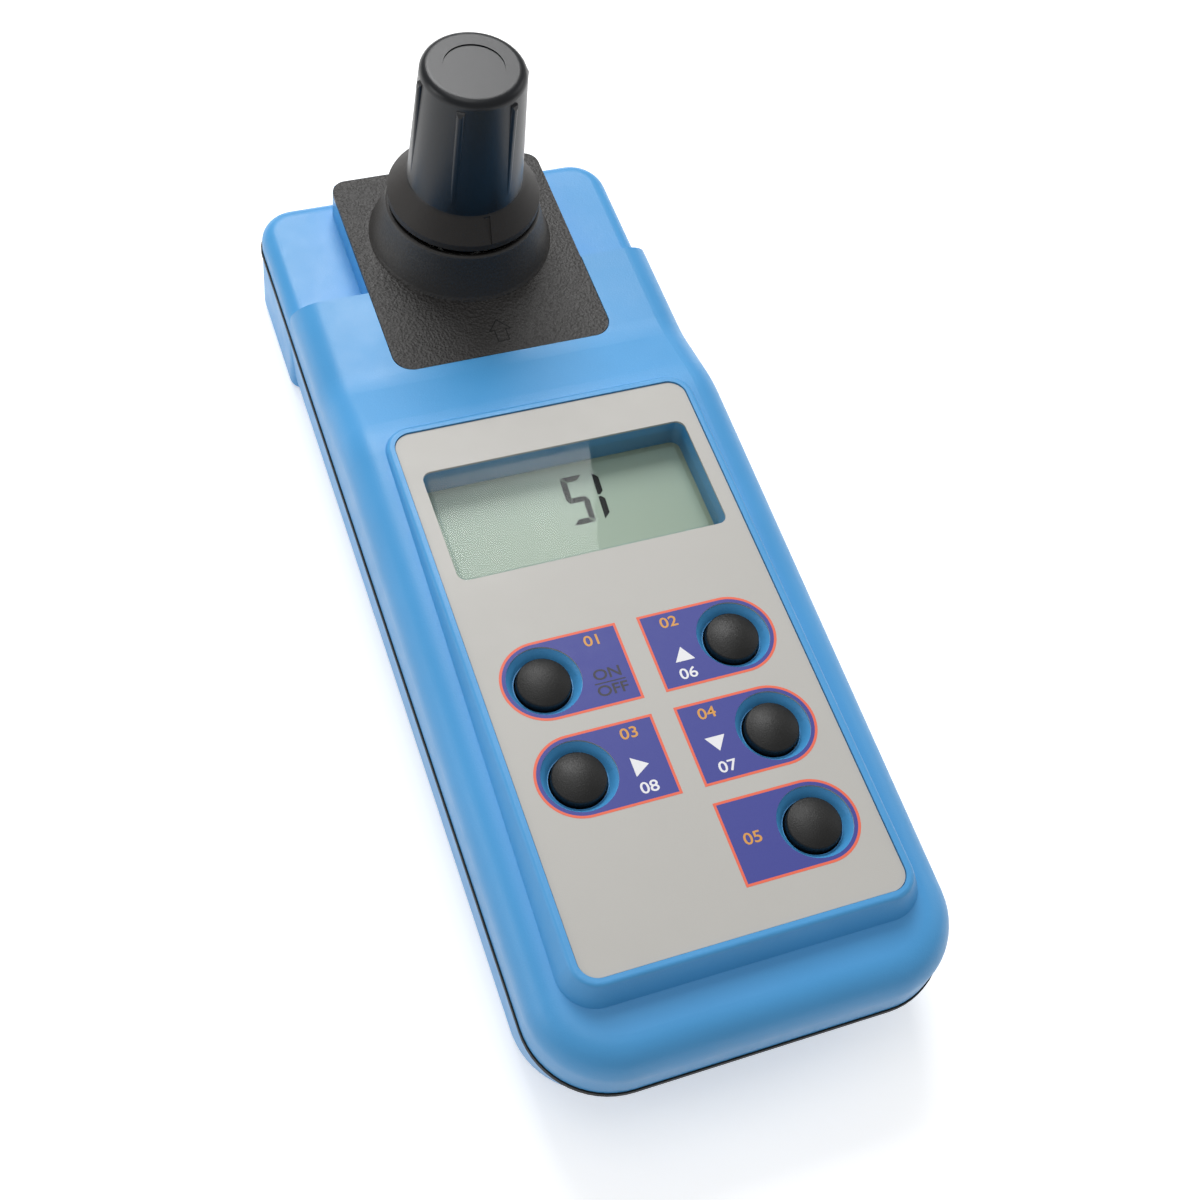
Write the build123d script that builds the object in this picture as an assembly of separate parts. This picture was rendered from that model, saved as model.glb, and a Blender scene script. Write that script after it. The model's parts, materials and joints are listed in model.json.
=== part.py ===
from build123d import *
import os

os.makedirs("parts", exist_ok=True)

# Portable turbidity meter: a two-shell moulded case with a keypad and a display on its top, and
# a glass measuring cuvette that drops into a light-tight well under a tall black cap.
# X runs across the meter, Y along it towards the cuvette end, Z up. The origin is the centre of
# the bounding box in plan, on the surface that the meter stands on. All sizes are millimetres.

# Case
case_width = 82.0
case_length = 212.0
lower_depth = 17.4
gasket_thickness = 1.2
gasket_inset = -0.3
gasket_width = 2.7
wall = 2.2
front_corner = 16.0
rear_corner = 8.0
running_gap = 0.3
seat_gap = 0.05
rib_wall = 1.4

# Case top, seen from the side
front_top = 30.6
crest_top = 35.4
crest_from_rear = 76.0
crest_round = 28.0
valley_from_rear = 59.0
valley_round = 24.0
plate_land = 31.2
top_round = 6.5
shoulder_top = 24.0
shoulder_round = 3.6
step_from_rear = 35.5
step_run = 2.6

# Case bottom
side_draft = 1.1
front_rake = 6.0
floor_round = 5.0
rear_floor_round = 1.6
rear_block_round = 3.0
rear_floor_length = 34.0

# Label and its raised plateau
label_top = 36.1
label_thickness = 0.5
label_half_width = 31.4
label_front = -90.5
label_rear = 28.5
label_corner = 3.6
label_gap = 0.15
plateau_rim = 1.5
plateau_proud = 0.35
plateau_spread = 3.4
plateau_foot = 28.0
plateau_round = 0.9
plateau_inner = 30.0

# Display
window_width = 56.4
window_length = 26.4
window_y = 5.3
window_corner = 2.0
window_wall = 1.0
window_pane = 1.2
window_depth = 7.3
window_collar = 1.8
lcd_thickness = 1.2
lcd_margin = 3.4
lcd_frame_wall = 1.6

# Keys
key_x = 19.3
key_front_y = -73.8
key_pitch = 20.5
key_radius = 5.25
key_dome_height = 0.65
key_rim_drop = 0.7
key_guide_gap = 0.35
key_flange_radius = 7.1
key_flange = 1.2
key_travel = 0.9
key_stop_gap = 0.5
plunger_radius = 2.0
well_radius = 7.2
well_throat = 5.75
well_depth = 1.9
key_boss_radius = 7.7
key_boss_drop = 2.6
boot_wall = 0.8

# Main board
board_thickness = 1.6
board_top = 26.6
board_half_width = 31.0
board_front = -92.0
board_rear = 36.0
board_post_radius = 2.8
buzzer_y = 19.0
board_posts = [(x * 27.6, y) for y in (-86.0, 30.0) for x in (-1, 1)]

# Measuring well, cuvette and cap
well_from_rear = 23.1
glass_radius = 12.5
glass_wall = 1.4
glass_base = 1.8
bore_gap = 0.25
well_floor = 4.4
holder_wall = 3.4
holder_flange = 2.0
holder_flange_half = 21.6
neck_radius = 9.4
neck_bore_radius = 7.8
glass_shoulder = 37.5
glass_top = 49.5
beam_height = 16.4
arm_half = 4.6
arm_reach = 24.0
led_radius = 2.5
led_length = 8.6
plate_half_width = 24.2
plate_length = 55.6
plate_from_rear = 2.4
plate_thickness = 1.0
plate_corner = 4.4
block_corner = 5.6
block_inner_corner = 1.2
block_slope = 2.2
collar_base_radius = 20.15
collar_mouth_radius = 16.9
collar_bore_radius = 15.3
collar_top = 41.6
cap_top = 79.0
cap_top_radius = 10.95
cap_top_round = 1.9
knob_base = 49.4
knob_base_radius = 12.4
skirt_radius = 16.5
skirt_top = 44.6
skirt_rim = 1.5
cap_wall = 2.0
cap_bore_radius = 10.6
cap_clearance = 0.6
cap_plug_radius = 13.9
skirt_mark_angle = -86.0
skirt_mark_depth = 0.35
cap_ribs = 6
cap_rib_proud = 0.75
cap_rib_width = 1.7
cap_dial_radius = 6.3
cap_dial_depth = 0.25
seal_section = 1.1

# Batteries and their door
cell_radius = 7.25
cell_length = 50.5
cell_nub = 1.0
cell_pitch = 14.9
cells = 4
cell_front = -82.6
cell_bottom = 3.4
contact_room = 1.6
contact_thickness = 0.4
tray_wall = 1.2
door_half_width = 29.2
door_rear = -22.0
door_thickness = 1.8
door_lift = 0.3
tongue = 1.4
tongue_thickness = 1.0
rail_height = 4.0
door_grooves = 6

# Fasteners and sockets
screw_radius = 1.25
screw_gap = 0.05
screw_head_radius = 2.7
screw_head = 2.0
screw_top = 27.0
boss_radius = 3.4
counterbore_depth = 5.5
screw_from_side = 6.0
screw_from_front = 22.0
middle_screw_y = -18.0
rear_screw_from_side = 6.4
rear_screw_from_rear = 11.0
small_screw_radius = 1.0
small_head_radius = 2.0
small_head = 1.4
socket_x = 22.5
socket_z = 10.0
serial_radius = 6.4
power_radius = 4.0

rear = case_length / 2
front = -rear
crest_y = rear - crest_from_rear
valley_y = rear - valley_from_rear
step_y = rear - step_from_rear
rear_floor_y = rear - rear_floor_length
well_y = rear - well_from_rear
plate_rear = rear - plate_from_rear
plate_front = plate_rear - plate_length
screw_x = case_width / 2 - screw_from_side
rear_screw_x = case_width / 2 - rear_screw_from_side
case_screw_places = [
    (x * screw_x, y) for y in (front + screw_from_front, middle_screw_y) for x in (-1, 1)
]
case_screw_places += [(x * rear_screw_x, rear - rear_screw_from_rear) for x in (-1, 1)]
top_rim = lower_depth + gasket_thickness
label_floor = label_top - label_thickness
plateau_top = label_top + plateau_proud
lcd_top = label_top - window_depth - seat_gap * 2
board_bottom = board_top - board_thickness
key_flange_top = label_floor - wall - key_boss_drop
plate_floor = plate_land - plate_thickness
plate_ceiling = plate_floor - wall
holder_radius = glass_radius + bore_gap + holder_wall
tray_half = cell_pitch * (cells - 1) / 2 + cell_radius + running_gap
cell_rear = cell_front + cell_length
cell_z = cell_bottom + cell_radius
key_places = {
    "on_off": (-key_x, key_front_y + 2 * key_pitch),
    "right": (-key_x, key_front_y + key_pitch),
    "up": (key_x, key_front_y + 2 * key_pitch),
    "down": (key_x, key_front_y + key_pitch),
    "shift": (key_x, key_front_y),
}


def block(x0, x1, y0, y1, z0, z1):
    """Box between two corners."""
    return Pos((x0 + x1) / 2, (y0 + y1) / 2, (z0 + z1) / 2) * Box(x1 - x0, y1 - y0, z1 - z0)


def rod(x, y, z0, z1, radius):
    """Upright cylinder."""
    return Pos(x, y, (z0 + z1) / 2) * Cylinder(radius, z1 - z0)


def slab(sketch, z0, z1):
    """Sketch raised from z0 to z1."""
    return extrude(Pos(0, 0, z0) * sketch, z1 - z0)


def round_rectangle(x0, x1, y0, y1, front_radius, rear_radius):
    """Plan rectangle with its own corner radius at the front and at the rear."""
    shape = Pos((x0 + x1) / 2, (y0 + y1) / 2) * Rectangle(x1 - x0, y1 - y0)
    corners = shape.vertices().sort_by(Axis.Y)
    shape = fillet(corners[:2], front_radius)
    corners = shape.vertices().sort_by(Axis.Y)[-2:]
    return fillet(corners, rear_radius)


def plan(inset, side=0.0, rake=0.0):
    """Plan outline of the case, moved in all round, and further at its sides and front."""
    half = case_width / 2 - inset - side
    return round_rectangle(
        -half, half, front + inset + rake, rear - inset, front_corner - inset, rear_corner - inset
    )


def side_solid(points, width):
    """Solid whose side view is the outline given by (y, z) points."""
    outline = Plane.YZ * Polyline(*points, close=True)
    return extrude(make_face(outline), width / 2, both=True)


def revolved(points, y=well_y):
    """Turned solid about the well's axis, or another one, from (radius, z) points."""
    outline = Plane.XZ * Polyline(*points, close=True)
    return Pos(0, y, 0) * revolve(make_face(outline), Axis.Z)


def top_edges(solid, above):
    """Edges round the top of a case form: not upright, not on the rim, and not across it."""
    chosen = []
    for edge in solid.edges():
        box = edge.bounding_box()
        across = abs(edge.center().X) < 0.01 and box.size.Y < 0.01
        inside = front + wall * 2 < edge.center().Y < rear - wall * 2
        upright = box.size.X < 0.01 and box.size.Y < 0.01
        if edge.center().Z > above and not upright and not (across and inside):
            chosen.append(edge)
    return chosen


def case_top(y):
    """Height of the case top on its long slope up to the crest."""
    share = (y - front) / (crest_y - front)
    return front_top + share * (crest_top - front_top)


def main_form(inset):
    """Case top with its hump, up to the step in front of the shoulders."""
    outline = [
        (front - 10, top_rim),
        (front - 10, case_top(front - 10) - inset),
        (crest_y, crest_top - inset),
        (valley_y, plate_land - inset),
        (rear + 10, plate_land - inset),
        (rear + 10, top_rim),
    ]
    side = side_solid(outline, case_width + 10)
    crest = [e for e in side.edges() if abs(e.center().Y - crest_y) < 0.1 and e.length > case_width]
    side = fillet(crest, crest_round)
    valley = [e for e in side.edges() if abs(e.center().Y - valley_y) < 0.1 and e.length > case_width]
    side = fillet(valley, valley_round)
    form = slab(plan(inset), top_rim, crest_top + 10) & side
    form = fillet(top_edges(form, top_rim + 4), top_round - inset)
    foot = step_y + step_run
    behind = [
        (step_y - inset, crest_top + 10),
        (step_y - inset, plate_land),
        (foot - inset, shoulder_top - inset),
        (foot - inset, top_rim - 1),
        (rear + 20, top_rim - 1),
        (rear + 20, crest_top + 10),
    ]
    return form - side_solid(behind, case_width + 10)


def rear_form(inset):
    """Low shoulders at the cuvette end."""
    form = slab(plan(inset), top_rim, shoulder_top - inset)
    form = form & block(-case_width, case_width, step_y - wall * 2, rear + 10, 0, crest_top)
    rim = [e for e in top_edges(form, shoulder_top - inset - 0.1) if e.center().Y > step_y]
    return fillet(rim, max(shoulder_round - inset, 0.6))


def central_block(inset):
    """Raised block under the plate, between the two shoulders."""
    half = plate_half_width - inset
    back = rear - inset - 0.2
    form = block(-half, half, valley_y + wall, back, top_rim, plate_floor - inset)
    upright = form.edges().filter_by(Axis.Z).sort_by(Axis.Y)[-2:]
    form = fillet(upright, block_inner_corner if inset else block_corner)
    slope = [
        (plate_rear, plate_floor),
        (rear, plate_floor - block_slope),
        (rear, plate_land),
        (plate_rear, plate_land),
    ]
    return form if inset else form - side_solid(slope, case_width)


def plateau():
    """Raised pad round the label, wider at its foot, with a rounded rim."""
    spread = plateau_rim + plateau_spread
    foot = round_rectangle(
        -label_half_width - spread, label_half_width + spread, label_front - spread,
        label_rear + spread, label_corner + spread, label_corner + spread,
    )
    head = round_rectangle(
        -label_half_width - plateau_rim, label_half_width + plateau_rim,
        label_front - plateau_rim, label_rear + plateau_rim,
        label_corner + plateau_rim, label_corner + plateau_rim,
    )
    pad = loft([Pos(0, 0, plateau_foot) * foot, Pos(0, 0, plateau_top) * head], ruled=True)
    rim = pad.edges().group_by(Axis.Z)[-1]
    return fillet(rim, plateau_round)


def window_sketch(growth):
    """Outline of the display window, grown all round."""
    size_x = window_width + 2 * growth
    size_y = window_length + 2 * growth
    return Pos(0, window_y) * RectangleRounded(size_x, size_y, window_corner + max(growth, -1))


def label_sketch(growth):
    """Outline of the label, grown all round."""
    return round_rectangle(
        -label_half_width - growth, label_half_width + growth,
        label_front - growth, label_rear + growth, label_corner + growth, label_corner + growth,
    )


def plate_sketch(growth):
    """Outline of the black plate, grown all round."""
    half = plate_half_width + growth
    return round_rectangle(
        -half, half, plate_front - growth, plate_rear + growth, plate_corner, plate_corner - 1
    )


def holder_screw_places():
    """Four screws round the measuring well."""
    return [(x * 18.8, well_y + y * 17.0) for x in (-1, 1) for y in (-1, 1)]


def key_well(x, y):
    """Funnel and guide bore of one key."""
    funnel = Pos(x, y, label_floor - well_depth / 2 + 0.01) * Cone(well_throat, well_radius, well_depth)
    return funnel + rod(x, y, key_flange_top - 1, label_floor, key_radius + key_guide_gap)


def top_shell():
    """Upper case moulding: hollow, with label recess, window, key wells and screw bosses."""
    outer = main_form(0) + rear_form(0) + central_block(0) + plateau()
    under_label = block(
        -plateau_inner, plateau_inner, label_front + wall, label_rear - wall,
        top_rim, label_floor - wall,
    )
    hollow = main_form(wall) + under_label
    hollow -= block(-plate_half_width, plate_half_width, plate_front - wall, rear, plate_ceiling, crest_top)
    hollow += rear_form(wall) + central_block(wall)
    shell = outer - hollow
    ceiling = label_floor - wall
    for x, y in key_places.values():
        shell += rod(x, y, key_flange_top + seat_gap, ceiling + 1, key_boss_radius)
    collar_floor = label_top - window_depth
    shell += slab(window_sketch(window_collar), collar_floor, ceiling + 1)
    for x, y in board_posts:
        shell += rod(x, y, board_top + seat_gap, ceiling + 0.5, board_post_radius)
    for x, y in case_screw_places:
        shell += rod(x, y, top_rim - gasket_thickness / 2, shoulder_top - 1, boss_radius)
        if y < step_y:
            shell += rod(x, y, shoulder_top - 2, case_top(y) - wall + 0.7, boss_radius)
    shell -= slab(label_sketch(label_gap), label_floor, plateau_top + 5)
    shell -= slab(plate_sketch(label_gap), plate_floor, crest_top + 5)
    shell -= slab(window_sketch(0), collar_floor - 1, plateau_top)
    for x, y in key_places.values():
        shell -= key_well(x, y)
    spigot = collar_bore_radius + rib_wall + running_gap
    shell -= rod(0, well_y, plate_ceiling - 1, plate_floor + 1, spigot)
    for x, y in holder_screw_places():
        shell -= rod(x, y, plate_ceiling - 1, plate_floor + 1, small_head_radius + running_gap + 0.3)
    pilot = screw_radius + screw_gap
    for x, y in case_screw_places:
        depth = screw_top + 0.5 if y < step_y else shoulder_top - wall
        shell -= rod(x, y, top_rim - 2, depth, pilot)
    for x, y in board_posts:
        shell -= rod(x, y, board_top - 1, board_top + 4, small_screw_radius + screw_gap)
    return shell


def lower_hull(inset, bottom):
    """Lower case form: drafted sides, raked front and rounded floor edges."""
    side = side_draft
    upper = Pos(0, 0, lower_depth) * plan(inset)
    lower = Pos(0, 0, bottom) * plan(inset, side, front_rake)
    hull = loft([lower, upper], ruled=True)
    return fillet(hull.edges().group_by(Axis.Z)[0], floor_round - inset)


def rear_hull(inset, bottom):
    """Lower case form at the cuvette end: upright sides down to the floor."""
    form = slab(plan(inset), bottom, lower_depth)
    keep = block(-case_width, case_width, rear_floor_y + inset, rear + 1, -1, lower_depth + 1)
    form = form & keep
    fronts = form.edges().filter_by(Axis.Z).sort_by(Axis.Y)[:2]
    form = fillet(fronts, rear_block_round)
    floor_edges = form.edges().group_by(Axis.Z)[0]
    form = fillet(floor_edges, max(rear_floor_round - inset / 2, 0.4))
    return form


def door_profile(gap):
    """Cross-section of the battery door with its side tongues, from the front."""
    half = door_half_width + gap
    low = door_lift - gap if gap == 0 else -1.0
    high = door_lift + door_thickness + gap
    tongue_low = high - tongue_thickness - 2 * gap
    points = [
        (-half, low), (half, low), (half, tongue_low), (half + tongue, tongue_low),
        (half + tongue, high), (-half - tongue, high), (-half - tongue, tongue_low),
        (-half, tongue_low),
    ]
    return make_face(Plane.XZ * Polyline(*points, close=True))


def door_run(gap):
    """Space of the battery door, run out through the front of the case."""
    stretch = door_rear - front + 20
    return Pos(0, door_rear + gap, 0) * extrude(door_profile(gap), stretch)


def bottom_shell():
    """Lower case moulding with battery opening, door rails, screw bosses and socket holes."""
    shell = lower_hull(0, 0) + rear_hull(0, 0)
    hollow = lower_hull(wall, wall) + rear_hull(wall, wall)
    shell -= hollow
    rail_outer = tray_half + tray_wall + rib_wall
    tray_front = cell_front - contact_room - tray_wall
    tray_rear = cell_rear + contact_room + tray_wall
    pad = block(-rail_outer, rail_outer, front + 8, door_rear + 4, 1.0, rail_height)
    shell += pad & (lower_hull(wall - 0.2, wall - 0.2) + block(-25, 25, front + 12, 0, 0, wall))
    for x, y in case_screw_places:
        shell += rod(x, y, 1.0, lower_depth + gasket_thickness / 2 - seat_gap, boss_radius)
    shell -= door_run(0.15)
    shell -= block(
        -tray_half, tray_half, tray_front + tray_wall, tray_rear - tray_wall, -1, rail_height + 1
    )
    for x, y in case_screw_places:
        shell -= rod(x, y, -1, lower_depth + 2, screw_radius + 0.3)
        shell -= rod(x, y, -1, counterbore_depth, screw_head_radius + running_gap)
    for x, radius in ((-socket_x, serial_radius), (socket_x, power_radius)):
        hole = Pos(x, rear, socket_z) * Rot(90, 0, 0) * Cylinder(radius + seat_gap * 2, 12)
        shell -= hole
    return shell


def case_gasket():
    """Black sealing cord between the shells, pressed flat."""
    outer = plan(gasket_inset)
    inner = plan(gasket_inset + gasket_width)
    return slab(outer - inner, lower_depth, top_rim)


def battery_door():
    """Sliding door with side tongues and a ribbed thumb grip."""
    door = door_run(0) & lower_hull(0, 0)
    for n in range(door_grooves):
        y = front + 22 + n * 2.4
        half = 9 - abs(n - (door_grooves - 1) / 2)
        door -= block(-half, half, y, y + 1.1, 0, door_lift + 0.6)
    return door


def battery_tray():
    """Open-bottomed tray that holds the cells, with saddles between them."""
    inner = block(-tray_half, tray_half, cell_front - contact_room, cell_rear + contact_room,
                  0, cell_z + cell_radius + running_gap)
    outer = block(
        -tray_half - tray_wall, tray_half + tray_wall,
        cell_front - contact_room - tray_wall, cell_rear + contact_room + tray_wall,
        rail_height + seat_gap, cell_z + cell_radius + running_gap + tray_wall,
    )
    tray = outer - inner
    for n in range(cells - 1):
        x = (n - (cells - 2) / 2) * cell_pitch
        z = cell_z + cell_radius + running_gap
        for y in (cell_front + 10, cell_rear - 12):
            tray += block(x - 0.6, x + 0.6, y, y + 2, z - 3.2, z)
    return tray


def battery_cell(n):
    """One round cell; neighbours lie end for end."""
    x = (n - (cells - 1) / 2) * cell_pitch
    can = cell_length - cell_nub
    axis = Rot(-90, 0, 0)
    if n % 2:
        can_y, nub_y = cell_front + cell_nub + can / 2, cell_front + cell_nub / 2
    else:
        can_y, nub_y = cell_front + can / 2, cell_rear - cell_nub / 2
    cell = Pos(x, can_y, cell_z) * axis * Cylinder(cell_radius, can)
    cell = chamfer(cell.edges(), 0.4)
    return cell + Pos(x, nub_y, cell_z) * axis * Cylinder(2.7, cell_nub)


def battery_contacts():
    """Sprung contact blades at both ends of the tray, two with tabs up to the board."""
    blades = []
    width = 5.0
    for n in range(cells):
        x = (n - (cells - 1) / 2) * cell_pitch
        for y, way in ((cell_front, -1), (cell_rear, 1)):
            back = y + way * (contact_room - 0.05)
            flat = block(
                x - width, x + width, min(back, back - way * contact_thickness),
                max(back, back - way * contact_thickness), cell_z - 4, cell_z + 4,
            )
            bow = side_solid([
                (back - way * contact_thickness * 0.5, cell_z - 3),
                (y + way * 0.05, cell_z),
                (back - way * contact_thickness * 0.5, cell_z + 3),
                (back - way * contact_thickness * 0.9, cell_z + 1.5),
                (y + way * (0.05 + contact_thickness), cell_z),
                (back - way * contact_thickness * 0.9, cell_z - 1.5),
            ], 3.0)
            blades.append(flat + Pos(x, 0, 0) * bow)
    return Compound(blades)


def case_screws():
    """Six case screws with pan heads in the counterbores."""
    screws = []
    for x, y in case_screw_places:
        tip = screw_top if y < step_y else shoulder_top - wall - 0.4
        head = rod(x, y, counterbore_depth - screw_head, counterbore_depth - seat_gap, screw_head_radius)
        head = fillet(head.edges().group_by(Axis.Z)[0], 0.8)
        head -= block(x - 0.4, x + 0.4, y - 2, y + 2, 0, counterbore_depth - screw_head + 0.8)
        head -= block(x - 2, x + 2, y - 0.4, y + 0.4, 0, counterbore_depth - screw_head + 0.8)
        screws.append(head + rod(x, y, counterbore_depth - 0.2, tip, screw_radius))
    return Compound(screws)


def label_plate():
    """Front label with its window and key holes."""
    plate = label_sketch(0) - window_sketch(0)
    for x, y in key_places.values():
        plate -= Pos(x, y) * Circle(well_radius + 0.1)
    return slab(plate, label_floor, label_top)


def display_window():
    """Clear window: a pane with thin side walls that stand over the display."""
    gap = -0.1
    pane_top = label_top - 0.1
    body = slab(window_sketch(gap), label_top - window_depth, pane_top)
    inside = slab(window_sketch(gap - window_wall), 0, pane_top - window_pane)
    return body - inside


def lcd_panel():
    """Glass display panel."""
    half_x = window_width / 2 + lcd_margin
    half_y = window_length / 2 + lcd_margin
    return block(-half_x, half_x, window_y - half_y, window_y + half_y, lcd_top - lcd_thickness, lcd_top)


def lcd_frame():
    """Frame that clamps the display panel over its rubber connectors."""
    half_x = window_width / 2 + lcd_margin + seat_gap
    half_y = window_length / 2 + lcd_margin + seat_gap
    grow = lcd_frame_wall
    frame = block(
        -half_x - grow, half_x + grow, window_y - half_y - grow, window_y + half_y + grow,
        board_top + seat_gap, lcd_top,
    )
    return frame - block(-half_x, half_x, window_y - half_y, window_y + half_y, 0, lcd_top + 5)


def lcd_connectors():
    """Two rubber connector strips between board and display."""
    half_x = window_width / 2 + lcd_margin - 1
    strips = []
    for way in (-1, 1):
        y = window_y + way * (window_length / 2 + lcd_margin - 1.6)
        strips.append(block(-half_x, half_x, y - 1, y + 1, board_top, lcd_top - lcd_thickness))
    return Compound(strips)


def key(x, y):
    """Domed key cap with retaining flange and plunger."""
    dome_top = label_top + key_dome_height
    rise = key_dome_height + key_rim_drop
    ball = (key_radius**2 + rise**2) / (2 * rise)
    stem = rod(0, 0, key_flange_top - key_flange, dome_top, key_radius)
    dome = stem & Pos(0, 0, dome_top - ball) * Sphere(ball)
    rim = [e for e in dome.edges() if abs(e.center().Z - label_top + key_rim_drop) < 0.1]
    cap = fillet(rim, 0.5)
    cap += rod(0, 0, key_flange_top - key_flange, key_flange_top, key_flange_radius)
    tip = board_top + key_stop_gap + key_travel
    return Pos(x, y, 0) * (cap + rod(0, 0, tip, key_flange_top - key_flange, plunger_radius))


def key_boot(x, y):
    """Silicone return boot under one key."""
    foot = key_flange_radius - 0.4
    head = foot - 2.0
    top = key_flange_top - key_flange
    points = [
        (foot, board_top), (foot, board_top + 0.6), (head, top),
        (head - boot_wall, top), (foot - boot_wall, board_top),
    ]
    return Pos(x, 0, 0) * revolved(points, y)


def main_board():
    """Circuit board under the label."""
    board = block(-board_half_width, board_half_width, board_front, board_rear, board_bottom, board_top)
    board = chamfer(board.edges().filter_by(Axis.Z), 2.0)
    for x, y in board_posts:
        board -= rod(x, y, board_bottom - 1, board_top + 1, small_screw_radius + 0.2)
    return board


def board_screws():
    """Four small screws that hold the board to its posts."""
    screws = []
    for x, y in board_posts:
        head = rod(x, y, board_bottom - seat_gap - small_head, board_bottom - seat_gap, small_head_radius)
        screws.append(head + rod(x, y, board_bottom - 0.5, board_top + 3.6, small_screw_radius))
    return Compound(screws)


def board_chips():
    """Controller, memory, clock and regulator on the underside of the board."""
    places = [
        (-8, -2, 14, 14, 1.8), (12, -4, 8, 5, 1.6), (14, 12, 6, 10, 1.6),
        (-22, 14, 5, 4, 1.5), (24, -18, 7, 9, 2.2), (-24, -12, 4, 11, 3.4),
    ]
    chips = []
    for x, y, size_x, size_y, high in places:
        z = board_bottom
        chips.append(block(x - size_x / 2, x + size_x / 2, y - size_y / 2, y + size_y / 2, z - high, z))
    return Compound(chips)


def buzzer():
    """Round sounder on the underside of the board."""
    can = rod(0, buzzer_y, board_bottom - 5.2, board_bottom, 6.0)
    can = fillet(can.edges().group_by(Axis.Z)[0], 0.8)
    return can - rod(0, buzzer_y, board_bottom - 6, board_bottom - 4, 1.0)


def cuvette_holder():
    """Light-tight block round the cuvette, with arms for the lamp and the detector."""
    top = plate_ceiling - seat_gap
    body = rod(0, well_y, wall + seat_gap, top, holder_radius)
    half = holder_flange_half
    body += block(-half, half, well_y - 20, well_y + 20, top - holder_flange, top)
    body += block(0, arm_reach, well_y - arm_half, well_y + arm_half,
                  beam_height - arm_half, beam_height + arm_half)
    body += block(-arm_half, arm_half, well_y - arm_reach, well_y,
                  beam_height - arm_half, beam_height + arm_half)
    bore = glass_radius + bore_gap
    body -= rod(0, well_y, well_floor, top + 1, bore)
    hole = led_radius + seat_gap
    body -= Pos(arm_reach, well_y, beam_height) * Rot(0, 90, 0) * Cylinder(hole, 2 * led_length)
    body -= Pos(arm_reach / 2, well_y, beam_height) * Rot(0, 90, 0) * Cylinder(1.5, arm_reach)
    body -= Pos(0, well_y - arm_reach, beam_height) * Rot(90, 0, 0) * Cylinder(hole, 2 * led_length)
    body -= Pos(0, well_y - arm_reach / 2, beam_height) * Rot(90, 0, 0) * Cylinder(1.5, arm_reach)
    for x, y in holder_screw_places():
        body -= rod(x, y, top - holder_flange - 1, top + 1, small_screw_radius + 0.2)
    return body


def holder_screws():
    """Four screws that clamp holder, case and plate together."""
    top = plate_ceiling - seat_gap
    screws = []
    for x, y in holder_screw_places():
        under = top - holder_flange - seat_gap
        head = rod(x, y, under - small_head, under, small_head_radius)
        screws.append(head + rod(x, y, under - 0.5, plate_floor - 0.2, small_screw_radius))
    return Compound(screws)


def round_device(length):
    """Lamp or detector: round body with a domed nose and a flange, along +X from its flange."""
    body = Pos(length / 2, 0, 0) * Rot(0, 90, 0) * Cylinder(led_radius, length)
    nose = body.edges().sort_by(Axis.X)[-1]
    return fillet(nose, led_radius * 0.8)


def infrared_lamp():
    """Infrared lamp in the side arm, shining across the well."""
    return Pos(arm_reach - seat_gap, well_y, beam_height) * Rot(0, 0, 180) * round_device(led_length - 0.5)


def light_detector():
    """Detector in the front arm, at a right angle to the lamp's beam."""
    turned = Rot(0, 0, 90) * round_device(led_length - 0.5)
    return Pos(0, well_y - arm_reach + seat_gap, beam_height) * turned


def lamp_board():
    """Small upright board behind the lamp."""
    x = arm_reach + seat_gap
    top = shoulder_top - wall - running_gap
    return block(x, x + board_thickness, well_y - 8, well_y + 8, beam_height - 9, top)


def detector_board():
    """Small upright board behind the detector."""
    y = well_y - arm_reach - seat_gap
    return block(-11, 11, y - board_thickness, y, beam_height - 9, plate_ceiling - 2)


def optics_ribbon():
    """Flat cable from the detector board to the main board."""
    start_y = well_y - arm_reach - seat_gap - board_thickness
    under = board_bottom - seat_gap
    thin = 0.5
    points = [
        (start_y, beam_height + 2), (start_y - 5, beam_height + 2),
        (start_y - 14, under - thin), (board_rear - 6, under - thin), (board_rear - 6, under),
        (start_y - 13.7, under), (start_y - 4.7, beam_height + 2 + thin),
        (start_y, beam_height + 2 + thin),
    ]
    return side_solid(points, 12)


def collar_plate():
    """Black plate with the flared collar that the cap sits in, and its screw bosses."""
    plate = slab(plate_sketch(0), plate_floor, plate_land)
    height = collar_top - plate_land
    flare = (
        Line((collar_bore_radius, plate_ceiling), (collar_bore_radius + rib_wall, plate_ceiling))
        + Line((collar_bore_radius + rib_wall, plate_ceiling),
               (collar_bore_radius + rib_wall, plate_floor + 0.2))
        + Line((collar_bore_radius + rib_wall, plate_floor + 0.2), (collar_base_radius, plate_floor + 0.2))
        + Line((collar_base_radius, plate_floor + 0.2), (collar_base_radius, plate_land))
        + ThreePointArc((collar_base_radius, plate_land),
                        (collar_mouth_radius + 0.95, plate_land + height * 0.55),
                        (collar_mouth_radius, collar_top - 0.6))
        + ThreePointArc((collar_mouth_radius, collar_top - 0.6),
                        (collar_mouth_radius - 0.25, collar_top - 0.15),
                        (collar_mouth_radius - 0.7, collar_top))
        + Line((collar_mouth_radius - 0.7, collar_top), (collar_bore_radius, collar_top - 0.5))
        + Line((collar_bore_radius, collar_top - 0.5), (collar_bore_radius, plate_ceiling))
    )
    plate += Pos(0, well_y, 0) * revolve(make_face(Plane.XZ * flare), Axis.Z)
    plate -= rod(0, well_y, plate_ceiling - 1, collar_top - 0.6, collar_bore_radius)
    for x, y in holder_screw_places():
        plate += rod(x, y, plate_ceiling, plate_floor + 0.2, small_head_radius + 0.2)
        plate -= rod(x, y, plate_ceiling - 1, plate_floor, small_screw_radius + screw_gap)
    return plate


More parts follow.
